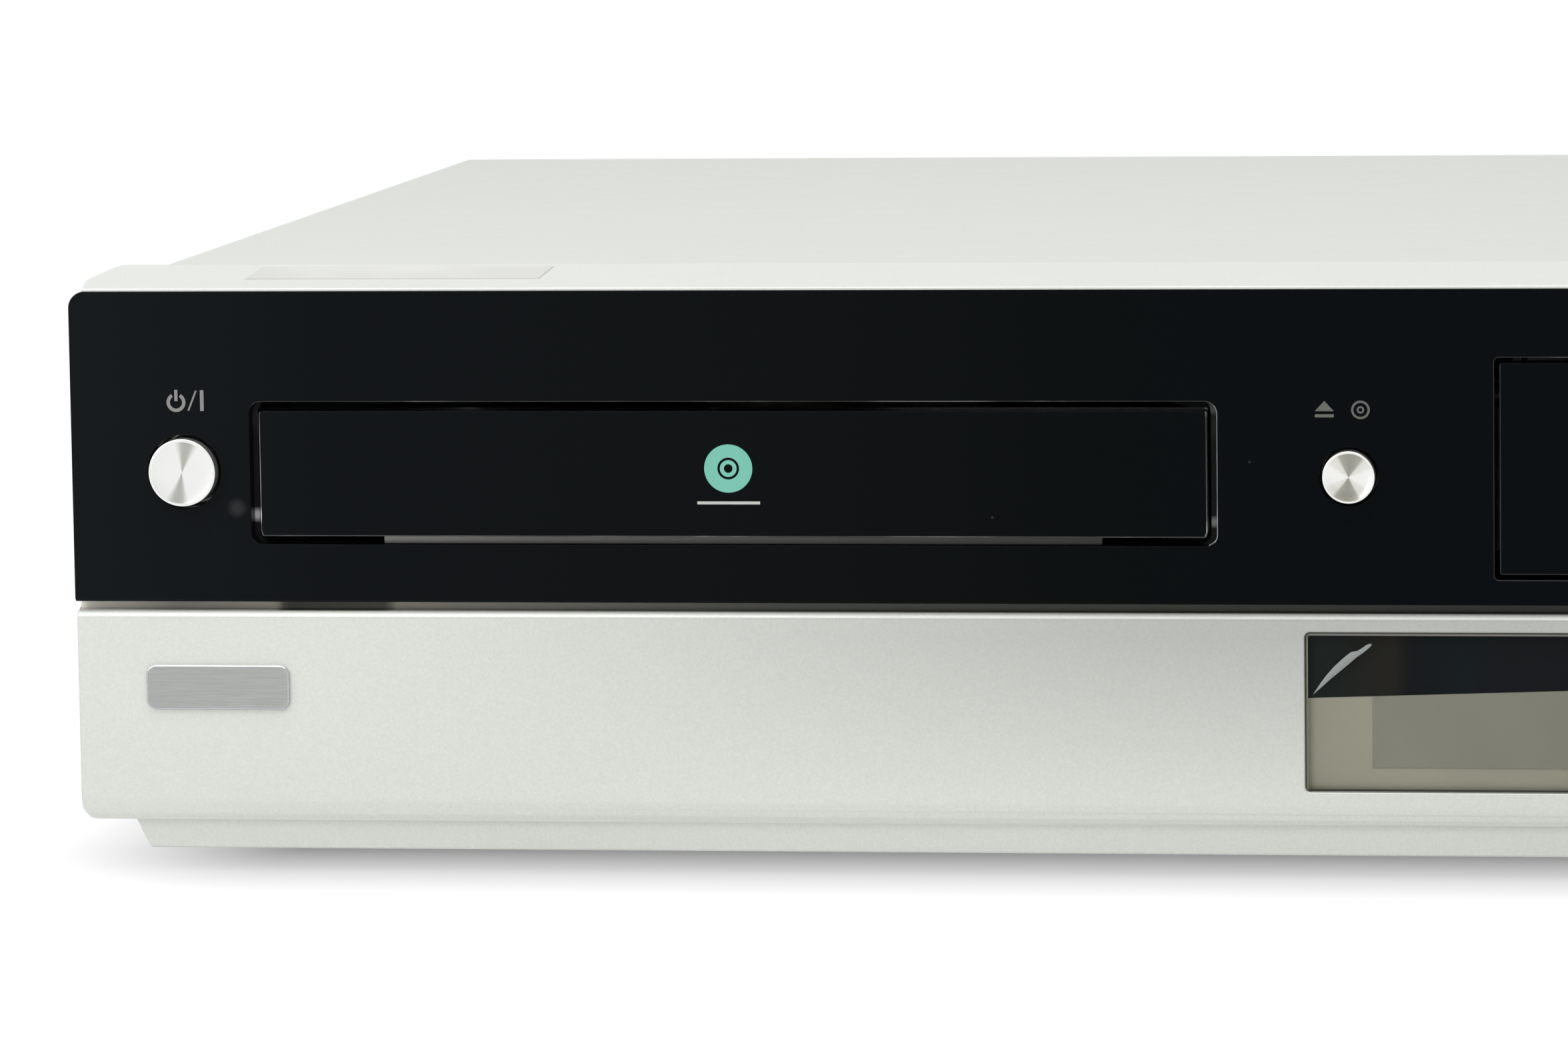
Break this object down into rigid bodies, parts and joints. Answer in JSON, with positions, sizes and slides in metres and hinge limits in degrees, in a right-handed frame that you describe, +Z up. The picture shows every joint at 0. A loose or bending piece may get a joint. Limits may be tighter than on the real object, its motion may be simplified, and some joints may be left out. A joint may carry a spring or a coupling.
{
  "type": "dvd vcr combo player",
  "caption": "Wide flat home player with a motor-driven disc tray, a front-loading cassette bay, push buttons and a display window.",
  "frame": {"origin": "bottom centre of the whole object, on the surface that the feet stand on", "axes": "+X right as seen from the front, +Y to the back, +Z up; the front panel faces -Y"},
  "size_m": [0.43, 0.2701, 0.082],
  "materials": {
    "cover_paint": "fine metallic paint",
    "silver_plastic": "silver paint on moulded plastic",
    "black_gloss": "polished black",
    "window": "smoked clear plastic",
    "display": "dark display glass",
    "brushed_key": "turned face with bright rim",
    "chrome": "bright",
    "steel": "bare sheet",
    "zinc": "zinc plated",
    "black_plastic": "moulded black",
    "grey_plastic": "moulded grey",
    "ivory_plastic": "natural acetal",
    "rubber": "matt",
    "board_green": "solder mask",
    "board_brown": "phenolic paper",
    "chips": "moulded epoxy",
    "cable": "laminated flat cable",
    "jack_metal": "nickel plated",
    "polished_alloy": "polished",
    "brass": "turned"
  },
  "bodies": {
    "case": {"top_cover": "cover_paint", "bottom_pan": "zinc", "rear_panel": "steel", "front_bezel": "silver_plastic", "black_fascia": "black_gloss", "base_skirt": "silver_plastic", "display_window": "window", "display_module": "display", "control_board": "board_green", "front_jacks": "jack_metal", "door_spring": "steel", "feet": "rubber", "case_screws": "zinc", "rear_jacks": "jack_metal", "power_inlet": "black_plastic", "badge_plate": "chrome", "main_board": "board_green", "board_parts": "chips", "power_board": "board_brown", "power_parts": "chips", "flat_cable": "cable", "loader_frame": "grey_plastic", "tray_belt": "rubber", "tray_motor": "zinc", "clamp_bridge": "steel", "deck_chassis": "zinc", "drum_base": "polished_alloy", "tape_heads": "steel", "loading_motor": "zinc"},
    "tray": {"disc_tray": "black_plastic", "tray_door": "black_gloss"},
    "tray_gear": {"tray_gear": "ivory_plastic"},
    "tray_pulley": {"tray_pulley": "ivory_plastic"},
    "motor_pulley": {"motor_pulley": "brass"},
    "traverse": {"traverse_frame": "grey_plastic", "spindle_motor": "zinc", "guide_rods": "steel"},
    "turntable": {"turntable": "black_plastic"},
    "pickup": {"optical_pickup": "black_plastic"},
    "sled_screw": {"sled_screw": "steel"},
    "clamp": {"clamp_disc": "ivory_plastic"},
    "cassette_door": {"cassette_door": "black_gloss"},
    "carriage": {"carriage_slider": "zinc"},
    "basket": {"cassette_basket": "zinc"},
    "supply_reel": {"supply_reel": "ivory_plastic"},
    "takeup_reel": {"takeup_reel": "ivory_plastic"},
    "head_drum": {"head_drum": "polished_alloy"},
    "capstan": {"capstan": "steel"},
    "pinch_arm": {"pinch_arm": "zinc"},
    "pinch_roller": {"pinch_roller": "rubber"},
    "cam_gear": {"cam_gear": "ivory_plastic"},
    "loading_pinion": {"loading_pinion": "ivory_plastic"},
    "power_button": {"power_button": "brushed_key"},
    "disc_eject_button": {"disc_eject_button": "brushed_key"},
    "tape_eject_button": {"tape_eject_button": "brushed_key"},
    "rewind_button": {"rewind_button": "brushed_key"},
    "play_button": {"play_button": "brushed_key"},
    "forward_button": {"forward_button": "brushed_key"},
    "stop_button": {"stop_button": "brushed_key"},
    "record_button": {"record_button": "brushed_key"}
  },
  "joints": [
    {"name": "tray_slide", "type": "slide", "parent": "case", "child": "tray", "axis": [0, -1, 0], "range_m": [0, 0.135]},
    {"name": "tray_gear_turn", "type": "hinge", "parent": "case", "child": "tray_gear", "pos_m": [-0.0803, -0.112, 0.046], "axis": [0, 0, -1], "range_deg": [0, 774]},
    {"name": "tray_pulley_turn", "type": "hinge", "parent": "case", "child": "tray_pulley", "pos_m": [-0.0963, -0.112, 0.043], "axis": [0, 0, 1], "range_deg": [0, 1290]},
    {"name": "motor_pulley_turn", "type": "hinge", "parent": "case", "child": "motor_pulley", "pos_m": [-0.1303, -0.11, 0.043], "axis": [0, 0, 1], "range_deg": [0, 6447]},
    {"name": "traverse_drop", "type": "hinge", "parent": "case", "child": "traverse", "pos_m": [-0.1243, 0.0265, 0.043], "axis": [1, 0, 0], "range_deg": [0, 5]},
    {"name": "turntable_spin", "type": "hinge", "parent": "traverse", "child": "turntable", "pos_m": [-0.1243, -0.0615, 0.042], "axis": [0, 0, 1], "continuous": true},
    {"name": "clamp_spin", "type": "hinge", "parent": "case", "child": "clamp", "pos_m": [-0.1243, -0.0615, 0.058], "axis": [0, 0, 1], "continuous": true},
    {"name": "pickup_slide", "type": "slide", "parent": "traverse", "child": "pickup", "axis": [0, 1, 0], "range_m": [0, 0.034]},
    {"name": "sled_screw_turn", "type": "hinge", "parent": "traverse", "child": "sled_screw", "pos_m": [-0.1053, -0.0215, 0.0402], "axis": [0, 1, 0], "range_deg": [0, 4081]},
    {"name": "cassette_door_swing", "type": "hinge", "parent": "case", "child": "cassette_door", "pos_m": [0.0789, -0.1302, 0.0694], "axis": [1, 0, 0], "range_deg": [0, 88], "stiffness_Nm_per_rad": 0.012},
    {"name": "carriage_slide", "type": "slide", "parent": "case", "child": "carriage", "axis": [0, 1, 0], "range_m": [0, 0.05]},
    {"name": "basket_lower", "type": "slide", "parent": "carriage", "child": "basket", "axis": [0, 0, -1], "range_m": [0, 0.022]},
    {"name": "supply_reel_spin", "type": "hinge", "parent": "case", "child": "supply_reel", "pos_m": [0.0329, -0.028, 0.02], "axis": [0, 0, 1], "continuous": true},
    {"name": "takeup_reel_spin", "type": "hinge", "parent": "case", "child": "takeup_reel", "pos_m": [0.1249, -0.028, 0.02], "axis": [0, 0, 1], "continuous": true},
    {"name": "head_drum_spin", "type": "hinge", "parent": "case", "child": "head_drum", "pos_m": [0.0789, 0.068, 0.0205], "axis": [0, 0.1045, 0.9945], "continuous": true},
    {"name": "capstan_spin", "type": "hinge", "parent": "case", "child": "capstan", "pos_m": [0.1339, 0.038, 0.015], "axis": [0, 0, 1], "continuous": true},
    {"name": "cam_turn", "type": "hinge", "parent": "case", "child": "cam_gear", "pos_m": [0.1609, 0.0815, 0.017], "axis": [0, 0, 1], "range_deg": [0, 180]},
    {"name": "loading_pinion_turn", "type": "hinge", "parent": "case", "child": "loading_pinion", "pos_m": [0.1379, 0.0815, 0.017], "axis": [0, 0, -1], "range_deg": [0, 649]},
    {"name": "pinch_arm_swing", "type": "hinge", "parent": "case", "child": "pinch_arm", "pos_m": [0.152, 0.056, 0.017], "axis": [0, 0, 1], "range_deg": [0, 25]},
    {"name": "pinch_roller_spin", "type": "hinge", "parent": "pinch_arm", "child": "pinch_roller", "pos_m": [0.13509, 0.04984, 0.024], "axis": [0, 0, 1], "continuous": true},
    {"name": "power_push", "type": "slide", "parent": "case", "child": "power_button", "axis": [0, 1, 0], "range_m": [0, 0.0012], "stiffness_N_per_m": 400},
    {"name": "disc_eject_push", "type": "slide", "parent": "case", "child": "disc_eject_button", "axis": [0, 1, 0], "range_m": [0, 0.0012], "stiffness_N_per_m": 400},
    {"name": "tape_eject_push", "type": "slide", "parent": "case", "child": "tape_eject_button", "axis": [0, 1, 0], "range_m": [0, 0.0012], "stiffness_N_per_m": 400},
    {"name": "rewind_push", "type": "slide", "parent": "case", "child": "rewind_button", "axis": [0, 1, 0], "range_m": [0, 0.0012], "stiffness_N_per_m": 400},
    {"name": "play_push", "type": "slide", "parent": "case", "child": "play_button", "axis": [0, 1, 0], "range_m": [0, 0.0012], "stiffness_N_per_m": 400},
    {"name": "forward_push", "type": "slide", "parent": "case", "child": "forward_button", "axis": [0, 1, 0], "range_m": [0, 0.0012], "stiffness_N_per_m": 400},
    {"name": "stop_push", "type": "slide", "parent": "case", "child": "stop_button", "axis": [0, 1, 0], "range_m": [0, 0.0012], "stiffness_N_per_m": 400},
    {"name": "record_push", "type": "slide", "parent": "case", "child": "record_button", "axis": [0, 1, 0], "range_m": [0, 0.0012], "stiffness_N_per_m": 400}
  ],
  "couplings": [
    {"joint": "tray_gear_turn", "follows": "tray_slide", "rad_per_m": 100},
    {"joint": "tray_pulley_turn", "follows": "tray_slide", "rad_per_m": 166.67},
    {"joint": "motor_pulley_turn", "follows": "tray_slide", "rad_per_m": 833.33},
    {"joint": "clamp_spin", "follows": "turntable_spin", "ratio": 1},
    {"joint": "sled_screw_turn", "follows": "pickup_slide", "rad_per_m": 2094.4},
    {"joint": "loading_pinion_turn", "follows": "cam_turn", "ratio": 3.6},
    {"joint": "pinch_arm_swing", "follows": "cam_turn", "ratio": 0.13889}
  ]
}
